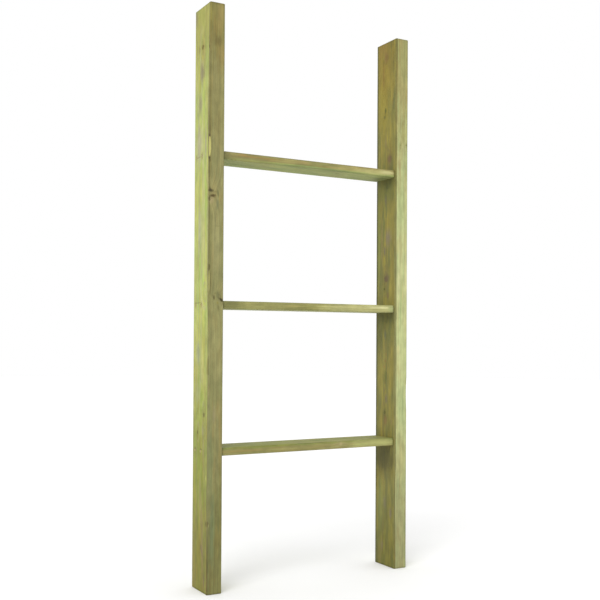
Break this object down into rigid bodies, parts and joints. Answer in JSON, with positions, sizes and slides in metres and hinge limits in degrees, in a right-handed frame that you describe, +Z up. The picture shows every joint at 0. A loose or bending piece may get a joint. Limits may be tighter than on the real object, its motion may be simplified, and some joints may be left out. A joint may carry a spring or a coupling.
{
  "type": "blanket ladder",
  "caption": "Rustic ladder-shaped rack of treated softwood planks with flat board rungs, for hanging quilts and blankets.",
  "frame": {"origin": "on the floor, midway between the rails and midway between their front and back edges", "axes": "+X to the right seen from the front, +Y to the back, +Z up along the rails"},
  "size_m": [0.562, 0.089, 1.372],
  "materials": {
    "rail_wood": "planed pressure-treated softwood, yellow-green, knots, matt and unfinished",
    "rung_wood": "planed pressure-treated softwood board, paler yellow-green, matt and unfinished",
    "screw_steel": "dull dark-coated outdoor wood screw"
  },
  "bodies": {
    "root": {"left_rail": "rail_wood", "right_rail": "rail_wood", "bottom_rung": "rung_wood", "middle_rung": "rung_wood", "top_rung": "rung_wood", "screw_left_bottom_front": "screw_steel", "screw_left_bottom_back": "screw_steel", "screw_left_middle_front": "screw_steel", "screw_left_middle_back": "screw_steel", "screw_left_top_front": "screw_steel", "screw_left_top_back": "screw_steel", "screw_right_bottom_front": "screw_steel", "screw_right_bottom_back": "screw_steel", "screw_right_middle_front": "screw_steel", "screw_right_middle_back": "screw_steel", "screw_right_top_front": "screw_steel", "screw_right_top_back": "screw_steel"}
  },
  "joints": []
}
